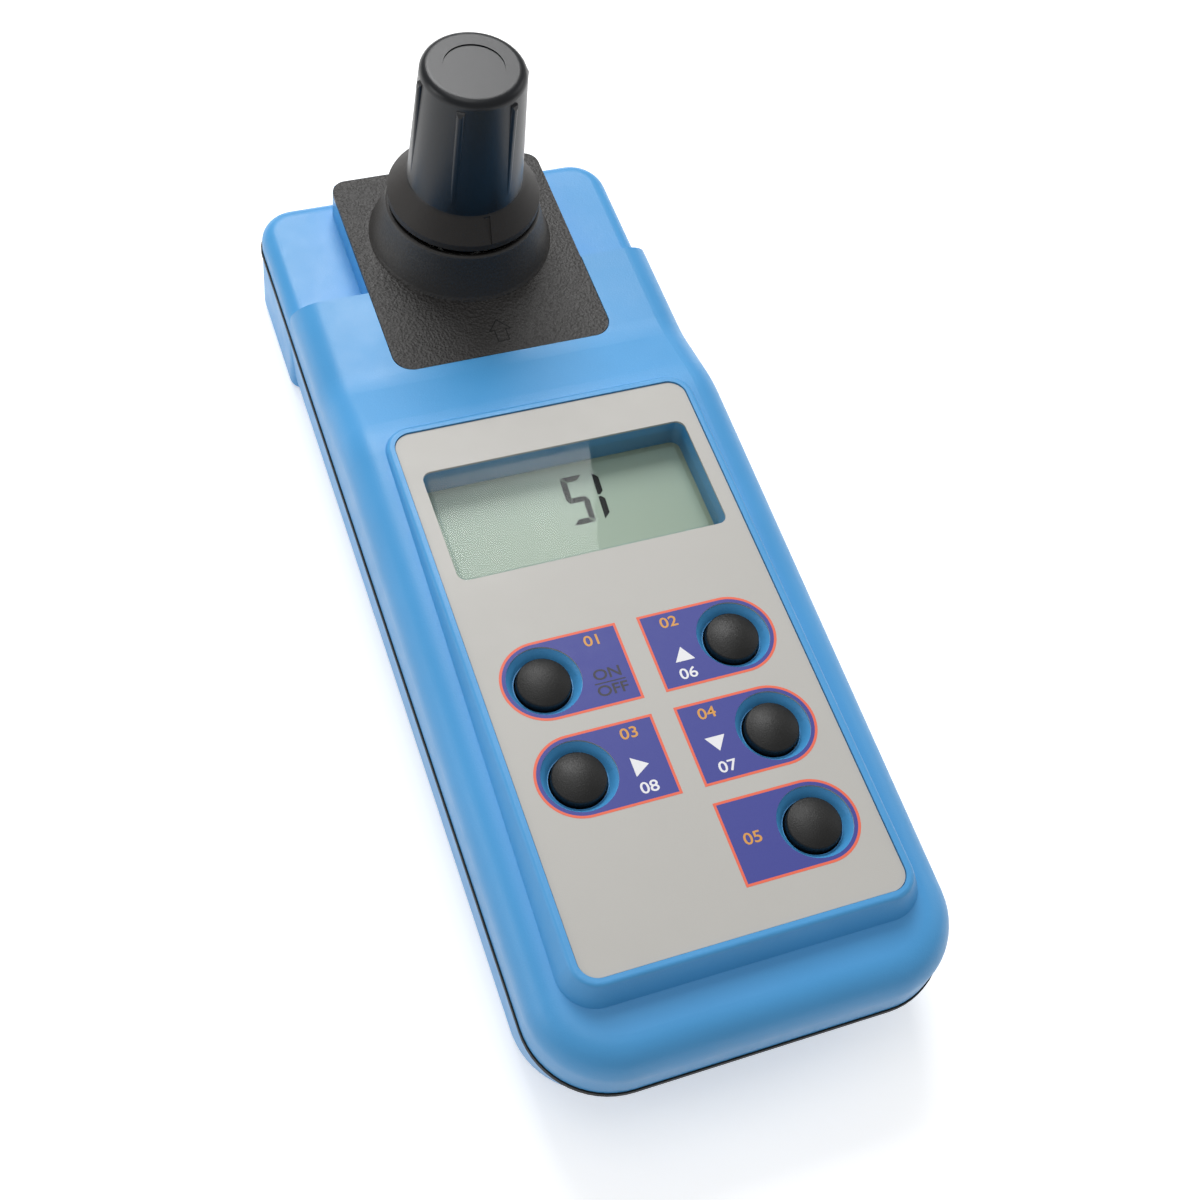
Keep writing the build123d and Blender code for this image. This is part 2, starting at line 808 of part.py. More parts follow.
def collar_seal():
    """Soft light seal on the holder, round the mouth of the well."""
    low = plate_ceiling
    inner = glass_radius + running_gap
    outer = collar_bore_radius - running_gap
    return revolved([(inner, low), (outer, low), (outer, low + seal_section), (inner, low + seal_section)])


def cuvette_glass():
    """Round glass cuvette with a narrower neck."""
    low = well_floor + seat_gap
    outer = (
        Line((0, low), (glass_radius - 1.0, low))
        + ThreePointArc((glass_radius - 1.0, low), (glass_radius - 0.3, low + 0.3),
                        (glass_radius, low + 1.0))
        + Line((glass_radius, low + 1.0), (glass_radius, glass_shoulder - 2.5))
        + ThreePointArc((glass_radius, glass_shoulder - 2.5),
                        (glass_radius - 0.8, glass_shoulder - 0.8),
                        (neck_radius, glass_shoulder))
        + Line((neck_radius, glass_shoulder), (neck_radius, glass_top))
        + Line((neck_radius, glass_top), (neck_bore_radius, glass_top))
        + Line((neck_bore_radius, glass_top), (neck_bore_radius, glass_shoulder - 1.2))
        + Line((neck_bore_radius, glass_shoulder - 1.2), (glass_radius - glass_wall, glass_shoulder - 4))
        + Line((glass_radius - glass_wall, glass_shoulder - 4), (glass_radius - glass_wall, low + glass_base))
        + Line((glass_radius - glass_wall, low + glass_base), (0, low + glass_base))
        + Line((0, low + glass_base), (0, low))
    )
    return Pos(0, well_y, 0) * revolve(make_face(Plane.XZ * outer), Axis.Z)


def cap_rib(angle):
    """One slender grip rib, proud near the top of the knob and fading out at its foot."""
    low, high = knob_base + 3.0, cap_top - 2.4
    slope = (knob_base_radius - cap_top_radius) / (cap_top - knob_base)
    at_low = knob_base_radius - slope * (low - knob_base)
    at_high = knob_base_radius - slope * (high - knob_base)
    points = [
        (at_low - 1.2, low), (at_low + 0.02, low), (at_high + cap_rib_proud, high - 1.2),
        (at_high + cap_rib_proud * 0.6, high - 0.3), (at_high - 0.3, high), (at_high - 1.2, high),
    ]
    rib = extrude(make_face(Plane.XZ * Polyline(*points, close=True)), cap_rib_width / 2, both=True)
    long_edges = [e for e in rib.edges() if e.center().X > at_high and e.length > 5]
    rib = fillet(long_edges, cap_rib_width * 0.4)
    return Pos(0, well_y, 0) * Rot(0, 0, angle) * rib


def skirt_mark():
    """Wedge-shaped index groove down the cone of the skirt, facing the display."""
    depth = skirt_mark_depth
    cone = revolved([
        (skirt_radius - depth, skirt_top), (skirt_radius + 1, skirt_top),
        (knob_base_radius + 1, knob_base), (knob_base_radius - depth, knob_base),
    ])
    wedge = Polyline((knob_base_radius + 0.3, -0.75), (knob_base_radius + 0.3, 0.75), (skirt_radius, 0.12),
                     (skirt_radius, -0.12), close=True)
    prism = extrude(make_face(wedge), knob_base + 5)
    return cone & (Pos(0, well_y, 0) * Rot(0, 0, skirt_mark_angle) * prism)


def cuvette_cap():
    """Tall screw cap: tapered ribbed knob over a conical skirt, hollow inside."""
    neck_room = cap_bore_radius
    cap_plug_bottom = collar_top + cap_clearance
    shape = (
        Line((neck_room, cap_plug_bottom), (cap_plug_radius, cap_plug_bottom))
        + Line((cap_plug_radius, cap_plug_bottom), (cap_plug_radius, skirt_top - skirt_rim))
        + Line((cap_plug_radius, skirt_top - skirt_rim), (skirt_radius, skirt_top - skirt_rim))
        + Line((skirt_radius, skirt_top - skirt_rim), (skirt_radius, skirt_top))
        + Line((skirt_radius, skirt_top), (knob_base_radius, knob_base))
        + Line((knob_base_radius, knob_base), (cap_top_radius, cap_top))
        + Line((cap_top_radius, cap_top), (0, cap_top))
        + Line((0, cap_top), (0, cap_top - cap_wall))
        + Line((0, cap_top - cap_wall), (cap_top_radius - cap_wall, cap_top - cap_wall))
        + Line((cap_top_radius - cap_wall, cap_top - cap_wall), (neck_room, glass_top + 2.0))
        + Line((neck_room, glass_top + 2.0), (neck_room, cap_plug_bottom))
    )
    cap = Pos(0, well_y, 0) * revolve(make_face(Plane.XZ * shape), Axis.Z)
    rim = [e for e in cap.edges() if abs(e.center().Z - cap_top) < 0.01 and e.length > cap_top_radius]
    cap = fillet(rim, cap_top_round)
    for n in range(cap_ribs):
        cap += cap_rib(n * 360 / cap_ribs)
    dial = rod(0, well_y, cap_top - cap_dial_depth, cap_top + 1, cap_dial_radius)
    return cap - dial - skirt_mark()


def cap_liner():
    """White sealing disc between the cap and the neck of the cuvette."""
    return rod(0, well_y, glass_top + seat_gap, glass_top + 1.2, cap_bore_radius - seat_gap)


def serial_socket():
    """Round serial data socket in the rear wall."""
    body = Pos(-socket_x, rear - 6.2, socket_z) * Rot(90, 0, 0) * Cylinder(serial_radius, 12)
    ring = Cylinder(serial_radius - 1.6, 12) - Cylinder(serial_radius - 2.9, 12)
    body -= Pos(-socket_x, rear, socket_z) * Rot(90, 0, 0) * ring
    for x, z in ((-1.6, 0), (1.6, 0), (0, 1.8), (-1.4, -1.7), (1.4, -1.7)):
        body -= Pos(-socket_x + x, rear, socket_z + z) * Rot(90, 0, 0) * Cylinder(0.4, 8)
    return body + block(-socket_x - 5, -socket_x + 5, rear - 15, rear - 12, wall + seat_gap, socket_z + 5)


def power_socket():
    """Round low-voltage socket with its centre pin, in the rear wall."""
    body = Pos(socket_x, rear - 6.2, socket_z) * Rot(90, 0, 0) * Cylinder(power_radius, 12)
    body -= Pos(socket_x, rear, socket_z) * Rot(90, 0, 0) * Cylinder(2.75, 18)
    body += Pos(socket_x, rear - 5.5, socket_z) * Rot(90, 0, 0) * Cylinder(1.0, 9)
    return body + block(socket_x - 4.5, socket_x + 4.5, rear - 14, rear - 10, wall + seat_gap, socket_z + 5)


nodes = {
    "top_shell": top_shell(),
    "bottom_shell": bottom_shell(),
    "case_gasket": case_gasket(),
    "case_screws": case_screws(),
    "battery_door": battery_door(),
    "battery_tray": battery_tray(),
    "battery_contacts": battery_contacts(),
    "label_plate": label_plate(),
    "display_window": display_window(),
    "lcd_panel": lcd_panel(),
    "lcd_frame": lcd_frame(),
    "lcd_connectors": lcd_connectors(),
    "main_board": main_board(),
    "board_screws": board_screws(),
    "board_chips": board_chips(),
    "buzzer": buzzer(),
    "cuvette_holder": cuvette_holder(),
    "holder_screws": holder_screws(),
    "infrared_lamp": infrared_lamp(),
    "light_detector": light_detector(),
    "lamp_board": lamp_board(),
    "detector_board": detector_board(),
    "optics_ribbon": optics_ribbon(),
    "collar_plate": collar_plate(),
    "collar_seal": collar_seal(),
    "cuvette_glass": cuvette_glass(),
    "cuvette_cap": cuvette_cap(),
    "cap_liner": cap_liner(),
    "serial_socket": serial_socket(),
    "power_socket": power_socket(),
}
for number in range(cells):
    nodes[f"battery_cell_{number + 1}"] = battery_cell(number)
for name, (x, y) in key_places.items():
    nodes[f"key_{name}"] = key(x, y)
    nodes[f"key_boot_{name}"] = key_boot(x, y)

for name, shape in nodes.items():
    export_step(shape, f"parts/{name}.step")
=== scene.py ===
import bpy
import json
from math import cos, radians, sin
from mathutils import Matrix, Vector


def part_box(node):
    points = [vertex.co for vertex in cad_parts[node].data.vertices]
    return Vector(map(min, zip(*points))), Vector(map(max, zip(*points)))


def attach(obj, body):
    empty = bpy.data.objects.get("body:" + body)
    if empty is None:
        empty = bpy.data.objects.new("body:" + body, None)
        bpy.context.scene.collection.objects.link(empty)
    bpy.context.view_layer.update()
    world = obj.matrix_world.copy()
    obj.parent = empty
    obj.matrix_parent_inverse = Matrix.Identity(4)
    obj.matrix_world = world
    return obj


MM = 0.001

# Places on the object, in millimetres
PLATE_TOP = 31.2
CAP_SKIRT_TOP = 49.4
KEY_X = 19.3
KEY_ROWS = (-32.8, -53.3, -73.8)
FIELD_RADIUS = 8.5
FIELD_INNER_X = 2.2
FIELD_OUTLINE = 0.52
FUNNEL_RADIUS = 7.25
PRINT_LIFT = 0.02
ARROW_X = 0.2
ARROW_FOOT = 51.1
ARROW_TIP = 57.2
ARROW_SHAFT = 3.0
ARROW_SHAFT_HALF = 1.35
ARROW_HEAD_HALF = 2.6
ARROW_LINE = 0.22
FLOOR_LIFT = 0.45

# The photograph's camera, in millimetres
CAMERA_PLACE = Vector((-98.52, -179.30, 325.92))
CAMERA_RIGHT = Vector((0.93576, -0.32969, 0.12510))
CAMERA_DOWN = Vector((-0.21889, -0.82123, -0.52694))
CAMERA_AHEAD = Vector((0.27647, 0.46571, -0.84065))
CAMERA_SENSOR = 36.0
CAMERA_LENS = 53.586

# Lettering on the key fields: text and place of its middle, in millimetres
MARK_SIZE = 3.2
MARK_WIDTH = 1.15
ORANGE_NUMBERS = {
    "number_1": ("01", -7.6, -27.0),
    "number_2": ("02", 8.0, -27.0),
    "number_3": ("03", -7.6, -47.6),
    "number_4": ("04", 8.0, -47.6),
    "number_5": ("05", 6.9, -73.7),
}
WHITE_NUMBERS = {
    "number_6": ("06", 7.8, -38.6),
    "number_7": ("07", 7.8, -59.0),
    "number_8": ("08", -7.7, -59.0),
}

# The display: lower left corners of its two digits, and their sizes, in millimetres
DIGIT_PLACES = ((-0.1, 3.4, "afgcd"), (6.8, 3.4, "fe"))
DIGIT_WIDTH = 4.9
DIGIT_HEIGHT = 11.9
DIGIT_LINE = 1.3
DIGIT_GAP = 0.16
DIGIT_LEAN = 0.075

# Soft boxes: place, point aimed at and size in metres, power in watts
SOFT_BOXES = {
    "back_softbox": ((0.08, 0.85, 0.95), (0, 0.05, 0.03), (0.62, 0.6), 10.0),
    "top_softbox": ((-0.25, 0.1, 1.4), (0, 0, 0.03), (0.7, 0.7), 2.8),
    "left_softbox": ((-1.3, 0.25, 0.42), (0, 0, 0.03), (0.7, 0.5), 3.0),
    "right_softbox": ((1.3, 0.2, 0.6), (0, 0, 0.03), (0.7, 0.5), 1.5),
}
WORLD_STRENGTH = 0.40
FLOOR_REACH = 6.0
FLOOR_DROP = 0.0002

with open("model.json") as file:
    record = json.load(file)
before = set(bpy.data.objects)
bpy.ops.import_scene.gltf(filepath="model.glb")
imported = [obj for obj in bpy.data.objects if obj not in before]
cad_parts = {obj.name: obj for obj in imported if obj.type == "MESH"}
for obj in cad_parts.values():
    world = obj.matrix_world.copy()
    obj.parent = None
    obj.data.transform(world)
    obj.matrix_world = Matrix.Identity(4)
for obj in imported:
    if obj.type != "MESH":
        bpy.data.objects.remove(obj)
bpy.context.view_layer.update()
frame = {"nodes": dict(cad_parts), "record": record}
scene = bpy.context.scene
LABEL_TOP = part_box("label_plate")[1][2] / MM
LCD_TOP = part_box("lcd_panel")[1][2] / MM


# Camera: the viewpoint of the photograph, solved from the object's own edges
def add_camera():
    data = bpy.data.cameras.new("camera")
    data.sensor_width = CAMERA_SENSOR
    data.lens = CAMERA_LENS
    data.clip_start = 0.01
    data.clip_end = 20.0
    cam = bpy.data.objects.new("camera", data)
    turn = Matrix((CAMERA_RIGHT, -CAMERA_DOWN, -CAMERA_AHEAD)).transposed().to_4x4()
    cam.matrix_world = Matrix.Translation(CAMERA_PLACE * MM) @ turn
    scene.collection.objects.link(cam)
    scene.camera = cam


# Materials
class Nodes:
    """A short way to write one material's node tree."""

    def __init__(self, name):
        self.material = bpy.data.materials.new(name)
        self.material.use_nodes = True
        self.tree = self.material.node_tree
        self.shader = self.tree.nodes["Principled BSDF"]
        self.output = self.tree.nodes["Material Output"]
        self.place = self.add("ShaderNodeTexCoord").outputs["Object"]

    def add(self, kind, **settings):
        node = self.tree.nodes.new(kind)
        for key, value in settings.items():
            setattr(node, key, value)
        return node

    def link(self, source, target):
        self.tree.links.new(source, target)

    def feed(self, value, socket):
        if isinstance(value, bpy.types.NodeSocket):
            self.link(value, socket)
        else:
            socket.default_value = value

    def noise(self, scale, detail=3.0, rough=0.55, stretch=(1, 1, 1)):
        mapping = self.add("ShaderNodeMapping")
        mapping.inputs["Scale"].default_value = stretch
        self.link(self.place, mapping.inputs["Vector"])
        node = self.add("ShaderNodeTexNoise")
        node.inputs["Scale"].default_value = scale
        node.inputs["Detail"].default_value = detail
        node.inputs["Roughness"].default_value = rough
        self.link(mapping.outputs["Vector"], node.inputs["Vector"])
        return node.outputs["Fac"]

    def cells(self, scale):
        node = self.add("ShaderNodeTexVoronoi")
        node.inputs["Scale"].default_value = scale
        self.link(self.place, node.inputs["Vector"])
        return node.outputs["Distance"]

    def math(self, kind, a, b):
        node = self.add("ShaderNodeMath", operation=kind)
        self.feed(a, node.inputs[0])
        self.feed(b, node.inputs[1])
        return node.outputs[0]

    def span(self, value, low, high, out_low=0.0, out_high=1.0):
        node = self.add("ShaderNodeMapRange")
        self.feed(value, node.inputs["Value"])
        node.inputs["From Min"].default_value = low
        node.inputs["From Max"].default_value = high
        self.feed(out_low, node.inputs["To Min"])
        self.feed(out_high, node.inputs["To Max"])
        return node.outputs["Result"]

    def mix(self, share, a, b):
        node = self.add("ShaderNodeMix", data_type="RGBA")
        self.feed(share, node.inputs["Factor"])
        self.feed(a, node.inputs[6])
        self.feed(b, node.inputs[7])
        return node.outputs[2]

    def axes(self):
        split = self.add("ShaderNodeSeparateXYZ")
        self.link(self.place, split.inputs[0])
        return split.outputs

    def bump(self, value, depth):
        node = self.add("ShaderNodeBump")
        node.inputs["Strength"].default_value = 1.0
        node.inputs["Distance"].default_value = depth * MM
        self.feed(value, node.inputs["Height"])
        self.link(node.outputs["Normal"], self.shader.inputs["Normal"])

    def set(self, **values):
        for key, value in values.items():
            self.feed(value, self.shader.inputs[key.replace("_", " ")])


def rgb(red, green, blue):
    """A colour given as it looks on a screen, 0 to 255, as linear values."""
    return tuple((v / 255.0) ** 2.2 for v in (red, green, blue)) + (1.0,)


def shade(color, factor):
    return tuple(v * factor for v in color[:3]) + (1.0,)


def moulded(name, color, rough, grain, depth, variation=0.06, specular=0.5):
    """Moulded plastic or rubber: fine spark grain, slow changes of tone and of sheen."""
    n = Nodes(name)
    slow = n.noise(38.0, 2.0)
    fine = n.noise(grain, 4.0, 0.6)
    tone = n.mix(n.span(slow, 0.3, 0.7), shade(color, 1 - variation), shade(color, 1 + variation))
    n.set(Base_Color=tone, Specular_IOR_Level=specular)
    n.set(Roughness=n.span(n.noise(150.0, 3.0), 0.3, 0.7, rough - 0.04, rough + 0.05))
    n.bump(fine, depth)
    return n.material


def blue_plastic():
    return moulded("blue_plastic", rgb(75, 154, 213), 0.38, 2600.0, 0.035, 0.03)


def label_film():
    return moulded("label_film", rgb(184, 182, 177), 0.42, 5200.0, 0.02, 0.012)


def grained_black():
    """The plate round the well: leather-like grain on the flat, smoother on the collar."""
    n = Nodes("grained_black")
    flat = n.span(n.axes()[2], (PLATE_TOP + 0.1) * MM, (PLATE_TOP + 0.9) * MM, 1.0, 0.15)
    pebbles = n.cells(1500.0)
    crumbs = n.noise(2400.0, 3.0)
    relief = n.math("MULTIPLY", n.math("ADD", pebbles, crumbs), flat)
    n.set(Base_Color=n.mix(n.noise(60.0), rgb(34, 32, 31), rgb(44, 42, 40)))
    n.set(Roughness=n.span(crumbs, 0.3, 0.7, 0.42, 0.58), Specular_IOR_Level=0.6)
    n.bump(relief, 0.16)
    return n.material


def cap_plastic():
    """Satin black above, a matter and browner moulded skin on the skirt."""
    n = Nodes("cap_plastic")
    skirt = n.span(n.axes()[2], (CAP_SKIRT_TOP - 0.6) * MM, (CAP_SKIRT_TOP + 0.2) * MM, 1.0, 0.0)
    fine = n.noise(4200.0, 3.0)
    knob = n.mix(n.noise(50.0), rgb(17, 19, 23), rgb(25, 28, 32))
    n.set(Base_Color=n.mix(skirt, knob, rgb(41, 38, 36)), Specular_IOR_Level=0.4)
    n.set(Roughness=n.math("ADD", n.span(fine, 0.3, 0.7, 0.30, 0.36), n.math("MULTIPLY", skirt, 0.22)))
    n.bump(n.math("MULTIPLY", fine, n.span(skirt, 0.0, 1.0, 0.35, 1.0)), 0.03)
    return n.material


def key_rubber():
    return moulded("key_rubber", rgb(21, 21, 20), 0.46, 3400.0, 0.06, 0.12, 0.45)


def black_rubber():
    return moulded("black_rubber", rgb(22, 22, 22), 0.62, 2400.0, 0.05, 0.15, 0.3)


def black_plastic():
    return moulded("black_plastic", rgb(30, 30, 31), 0.45, 2600.0, 0.04, 0.1)


def clear(name, tint, rough=0.02, ior=1.49, gleam=1.0):
    """Thin clear plastic or glass: lets the light through and mirrors at its angle."""
    n = Nodes(name)
    through = n.add("ShaderNodeBsdfTransparent")
    through.inputs["Color"].default_value = tint
    gloss = n.add("ShaderNodeBsdfGlossy")
    gloss.inputs["Roughness"].default_value = rough
    fresnel = n.add("ShaderNodeFresnel")
    fresnel.inputs["IOR"].default_value = ior
    smear = n.add("ShaderNodeBump")
    smear.inputs["Distance"].default_value = 0.01 * MM
    n.link(n.noise(90.0, 2.0), smear.inputs["Height"])
    n.link(smear.outputs["Normal"], gloss.inputs["Normal"])
    mix = n.add("ShaderNodeMixShader")
    n.link(n.math("MULTIPLY", fresnel.outputs[0], gleam), mix.inputs[0])
    n.link(through.outputs[0], mix.inputs[1])
    n.link(gloss.outputs[0], mix.inputs[2])
    n.link(mix.outputs[0], n.output.inputs["Surface"])
    n.tree.nodes.remove(n.shader)
    return n.material


def lcd_surface():
    """Grey-green display glass, with painted shade: lighter at its front edge, darker towards its rear
    edge.
    """
    n = Nodes("lcd_surface")
    # Painted shade: the display colour darkens from the front edge towards the rear edge.
    shade_towards_rear = n.span(n.axes()[1], -8 * MM, 19 * MM)
    n.set(Base_Color=n.mix(shade_towards_rear, rgb(166, 178, 158), rgb(154, 171, 157)))
    n.set(Roughness=n.span(n.noise(700.0), 0.3, 0.7, 0.30, 0.38), Specular_IOR_Level=0.35)
    n.bump(n.noise(5000.0), 0.01)
    return n.material


def printed(name, color, rough=0.45):
    """Screen print: a dense ink with a faint grain."""
    n = Nodes(name)
    n.set(Base_Color=n.mix(n.noise(2600.0, 3.0), shade(color, 0.94), shade(color, 1.05)))
    n.set(Roughness=n.span(n.noise(400.0), 0.3, 0.7, rough - 0.03, rough + 0.05))
    n.bump(n.noise(5200.0), 0.008)
    return n.material


def circuit_board():
    n = Nodes("circuit_board")
    tracks = n.span(n.noise(260.0, 1.0, stretch=(1, 0.25, 1)), 0.49, 0.53)
    n.set(Base_Color=n.mix(tracks, rgb(22, 78, 44), rgb(34, 108, 60)))
    n.set(Roughness=n.span(n.noise(1200.0), 0.3, 0.7, 0.28, 0.4))
    n.bump(tracks, 0.03)
    return n.material


def zinc_steel():
    n = Nodes("zinc_steel")
    brush = n.noise(1400.0, 3.0, stretch=(1, 8, 8))
    n.set(Base_Color=n.mix(brush, rgb(150, 151, 150), rgb(192, 193, 190)), Metallic=1.0)
    n.set(Roughness=n.span(brush, 0.3, 0.7, 0.26, 0.44))
    n.bump(brush, 0.01)
    return n.material


def cell_sleeve():
    """Battery sleeve: dark with a copper-coloured band at the plus end."""
    n = Nodes("cell_sleeve")
    band = n.span(n.axes()[1], 6 * MM, 6.4 * MM)
    n.set(Base_Color=n.mix(band, rgb(38, 38, 41), rgb(176, 112, 58)))
    n.set(Roughness=n.span(n.noise(500.0), 0.3, 0.7, 0.2, 0.3))
    n.bump(n.noise(900.0), 0.01)
    return n.material


def silicone():
    return moulded("silicone", rgb(196, 196, 190), 0.5, 2000.0, 0.03, 0.05)


def liner():
    return moulded("liner", rgb(214, 212, 204), 0.55, 2000.0, 0.04, 0.05)


FINISHES = {
    "blue_plastic": blue_plastic(),
    "black_plastic": black_plastic(),
    "grained_black": grained_black(),
    "cap_plastic": cap_plastic(),
    "black_rubber": black_rubber(),
    "key_rubber": key_rubber(),
    "silicone": silicone(),
    "label": label_film(),
    "clear_window": clear("clear_window", (0.97, 0.985, 0.98, 1.0), gleam=0.12),
    "glass": clear("clear_glass", (0.975, 0.99, 0.985, 1.0), 0.01, 1.52),
    "lcd": lcd_surface(),
    "circuit_board": circuit_board(),
    "steel": zinc_steel(),
    "cell_sleeve": cell_sleeve(),
    "liner": liner(),
}
PRINTS = {
    "field_ink": printed("field_ink", rgb(60, 66, 146)),
    "outline_ink": printed("outline_ink", rgb(232, 104, 78)),
    "orange_ink": printed("orange_ink", rgb(214, 152, 74)),
    "white_ink": printed("white_ink", rgb(232, 232, 236)),
    "dark_ink": printed("dark_ink", rgb(50, 48, 60)),
    "segment_ink": printed("segment_ink", rgb(8, 9, 8), 0.7),
    "engraved": printed("engraved", rgb(12, 12, 12), 0.8),
}


def finish_nodes():
    """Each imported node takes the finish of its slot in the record."""
    slots = {row["node"]: row["material_slot"] for row in frame["record"]["subparts"]}
    for name, obj in frame["nodes"].items():
        finish = FINISHES["grained_black" if name == "collar_plate" else slots[name]]
        for slot in obj.material_slots:
            slot.material = finish


# Printing on the label
def flat_piece(name, loops, z, ink):
    """A printed patch: closed outlines in millimetres, the later ones cut out of the first."""
    curve = bpy.data.curves.new(name + "_outline", "CURVE")
    curve.dimensions = "2D"
    curve.fill_mode = "BOTH"
    for loop in loops:
        spline = curve.splines.new("POLY")
        spline.points.add(len(loop) - 1)
        for point, (x, y) in zip(spline.points, loop):
            point.co = (x * MM, y * MM, 0.0, 1.0)
        spline.use_cyclic_u = True
    holder = bpy.data.objects.new(name + "_outline", curve)
    mesh = bpy.data.meshes.new_from_object(holder)
    bpy.data.objects.remove(holder)
    return flat_mesh(name, mesh, z, ink)


def flat_mesh(name, mesh, z, ink):
    mesh.materials.clear()
    mesh.materials.append(PRINTS[ink])
    obj = bpy.data.objects.new(name, mesh)
    obj.location = (0, 0, z * MM)
    scene.collection.objects.link(obj)
    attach(obj, "case")
    return obj


def words(name, text, x, y, size, z, ink, width, weight):
    """Plain lettering, centred on its place."""
    curve = bpy.data.curves.new(name + "_font", "FONT")
    curve.body = text
    curve.size = size * MM
    curve.align_x = "CENTER"
    curve.align_y = "CENTER"
    curve.offset = weight * MM
    holder = bpy.data.objects.new(name + "_font", curve)
    mesh = bpy.data.meshes.new_from_object(holder)
    bpy.data.objects.remove(holder)
    for vertex in mesh.vertices:
        vertex.co.x = vertex.co.x * width + x * MM
        vertex.co.y += y * MM
    return flat_mesh(name, mesh, z, ink)


def arc(cx, cy, radius, start, end, steps=40):
    return [
        (cx + radius * cos(radians(start + (end - start) * i / steps)),
         cy + radius * sin(radians(start + (end - start) * i / steps)))
        for i in range(steps + 1)
    ]


def field_loop(side, y, inset):
    """Outline of a key field: half round on the outer side, square towards the middle."""
    radius = FIELD_RADIUS - inset
    end_x = side * (FIELD_INNER_X + inset)
    if side < 0:
        loop = arc(-KEY_X, y, radius, 90, 270)
    else:
        loop = arc(KEY_X, y, radius, -90, 90)
    return loop + [(end_x, y - side * -radius), (end_x, y - side * radius)]


def key_fields():
    places = {
        "on_off": (-1, KEY_ROWS[0]),
        "up": (1, KEY_ROWS[0]),
        "right": (-1, KEY_ROWS[1]),
        "down": (1, KEY_ROWS[1]),
        "shift": (1, KEY_ROWS[2]),
    }
    for name, (side, y) in places.items():
        outer = field_loop(side, y, 0.0)
        inner = field_loop(side, y, FIELD_OUTLINE)
        funnel = arc(side * KEY_X, y, FUNNEL_RADIUS, 0, 360, 72)[:-1]
        flat_piece("outline_" + name, [outer, inner], LABEL_TOP + PRINT_LIFT, "outline_ink")
        flat_piece("field_" + name, [inner, funnel], LABEL_TOP + PRINT_LIFT, "field_ink")


def key_marks():
    z = LABEL_TOP + 2 * PRINT_LIFT
    for ink, numbers in (("orange_ink", ORANGE_NUMBERS), ("white_ink", WHITE_NUMBERS)):
        for name, (text, x, y) in numbers.items():
            words(name, text, x, y, MARK_SIZE, z, ink, MARK_WIDTH, 0.04)
    words("word_on", "ON", -7.3, -34.5, 3.1, z, "dark_ink", MARK_WIDTH, 0.05)
    words("word_off", "OFF", -7.3, -38.0, 3.1, z, "dark_ink", MARK_WIDTH, 0.05)
    line = [(-10.4, -36.35), (-4.2, -36.35), (-4.2, -36.1), (-10.4, -36.1)]
    flat_piece("line_on_off", [line], z, "dark_ink")
    triangle = [(0.0, 1.7), (-2.0, -1.4), (2.0, -1.4)]
    turned = {"up": (8.2, -34.4, 0), "down": (7.6, -53.9, 180), "right": (-7.9, -54.4, -90)}
    for name, (x, y, angle) in turned.items():
        c, s = cos(radians(angle)), sin(radians(angle))
        loop = [(x + c * a - s * b, y + s * a + c * b) for a, b in triangle]
        flat_piece("arrow_" + name, [loop], z, "white_ink")


def plate_arrow():
    """Hollow arrow engraved on the plate, pointing at the well."""
    x, foot, tip = ARROW_X, ARROW_FOOT, ARROW_TIP
    neck = foot + ARROW_SHAFT

    def outline(line):
        shaft = ARROW_SHAFT_HALF - line
        head = ARROW_HEAD_HALF - line * 2
        return [
            (x - shaft, foot + line), (x + shaft, foot + line), (x + shaft, neck + line),
            (x + head, neck + line), (x, tip - line * 1.6), (x - head, neck + line),
            (x - shaft, neck + line),
        ]

    flat_piece("plate_arrow", [outline(0.0), outline(ARROW_LINE)], PLATE_TOP + PRINT_LIFT,
               "engraved")


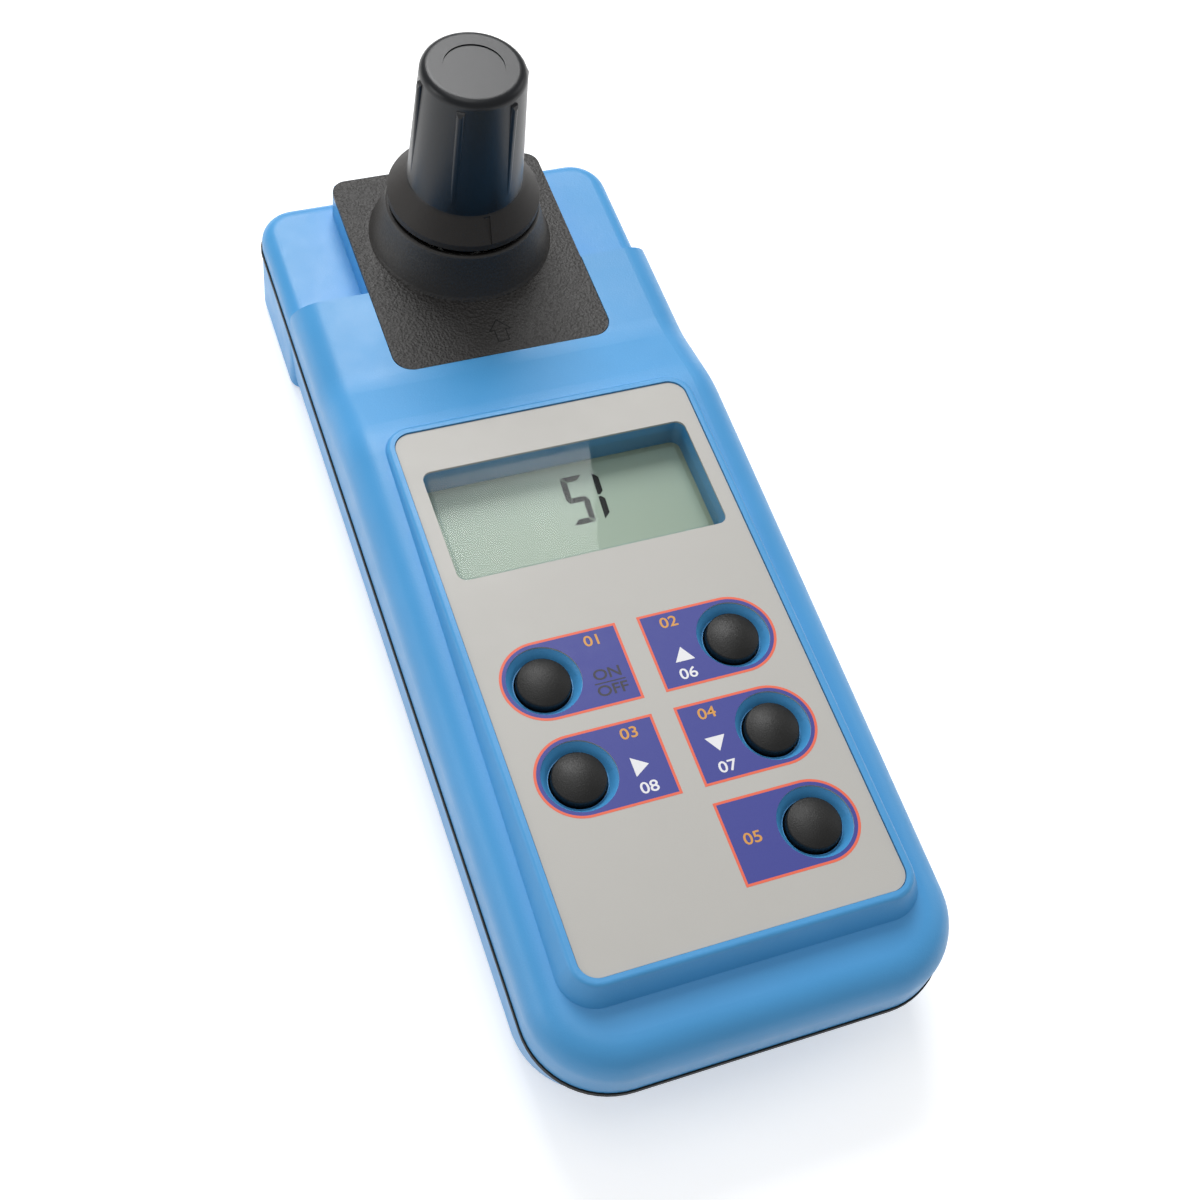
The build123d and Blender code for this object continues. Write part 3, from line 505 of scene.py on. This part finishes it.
def digit_segments(x, y, lit):
    """Outlines of the lit segments of one digit, its lower left corner at x, y."""
    w = DIGIT_WIDTH
    h = DIGIT_HEIGHT
    t = DIGIT_LINE
    gap = DIGIT_GAP
    m = h / 2
    bars = {
        "a": [(0 + gap, h), (w - gap, h), (w - t - gap, h - t), (t + gap, h - t)],
        "d": [(t + gap, t), (w - t - gap, t), (w - gap, 0), (0 + gap, 0)],
        "g": [(gap * 2, m), (t * 0.6, m + t / 2), (w - t * 0.6, m + t / 2), (w - gap * 2, m),
              (w - t * 0.6, m - t / 2), (t * 0.6, m - t / 2)],
        "f": [(0, h - gap), (t, h - t - gap), (t, m + t * 0.75), (t * 0.4, m + gap), (0, m + gap * 2)],
        "e": [(0, gap), (t, t + gap), (t, m - t * 0.75), (t * 0.4, m - gap), (0, m - gap * 2)],
        "b": [(w, h - gap), (w - t, h - t - gap), (w - t, m + t * 0.75), (w - t * 0.4, m + gap),
              (w, m + gap * 2)],
        "c": [(w, gap), (w - t, t + gap), (w - t, m - t * 0.75), (w - t * 0.4, m - gap),
              (w, m - gap * 2)],
    }
    return [[(x + a + DIGIT_LEAN * b, y + b) for a, b in bars[name]] for name in lit]


def display_digits():
    shown = [loop for place in DIGIT_PLACES for loop in digit_segments(*place)]
    for number, loop in enumerate(shown):
        flat_piece(f"segment_{number + 1}", [loop], LCD_TOP + PRINT_LIFT, "segment_ink")


# Room: a white floor and soft light
def add_floor():
    mesh = bpy.data.meshes.new("floor")
    reach = FLOOR_REACH
    mesh.from_pydata(
        [(-reach, -reach, 0), (reach, -reach, 0), (reach, reach, 0), (-reach, reach, 0)],
        [], [(0, 1, 2, 3)],
    )
    floor = bpy.data.objects.new("floor", mesh)
    floor.location = (0, 0, -FLOOR_DROP)
    n = Nodes("floor_white")
    path = n.add("ShaderNodeLightPath")
    seen = n.math("MAXIMUM", path.outputs["Is Camera Ray"], path.outputs["Is Glossy Ray"])
    n.set(Base_Color=(0.9, 0.9, 0.9, 1.0), Roughness=0.9, Specular_IOR_Level=0.1)
    n.set(Emission_Color=(1.0, 1.0, 1.0, 1.0), Emission_Strength=n.math("MULTIPLY", seen, FLOOR_LIFT))
    mesh.materials.append(n.material)
    scene.collection.objects.link(floor)


def add_lamp(name, place, aim, size, power):
    data = bpy.data.lights.new(name, "AREA")
    data.shape = "RECTANGLE"
    data.size, data.size_y = size
    data.energy = power
    lamp = bpy.data.objects.new(name, data)
    lamp.location = place
    lamp.rotation_euler = (Vector(aim) - Vector(place)).to_track_quat("-Z", "Y").to_euler()
    scene.collection.objects.link(lamp)


def add_light():
    world = bpy.data.worlds.new("world")
    scene.world = world
    world.use_nodes = True
    back = world.node_tree.nodes["Background"]
    back.inputs["Color"].default_value = (1.0, 1.0, 1.0, 1.0)
    back.inputs["Strength"].default_value = WORLD_STRENGTH
    for name, settings in SOFT_BOXES.items():
        add_lamp(name, *settings)


add_camera()
add_floor()
add_light()
finish_nodes()
key_fields()
key_marks()
plate_arrow()
display_digits()
scene.view_settings.view_transform = "Standard"
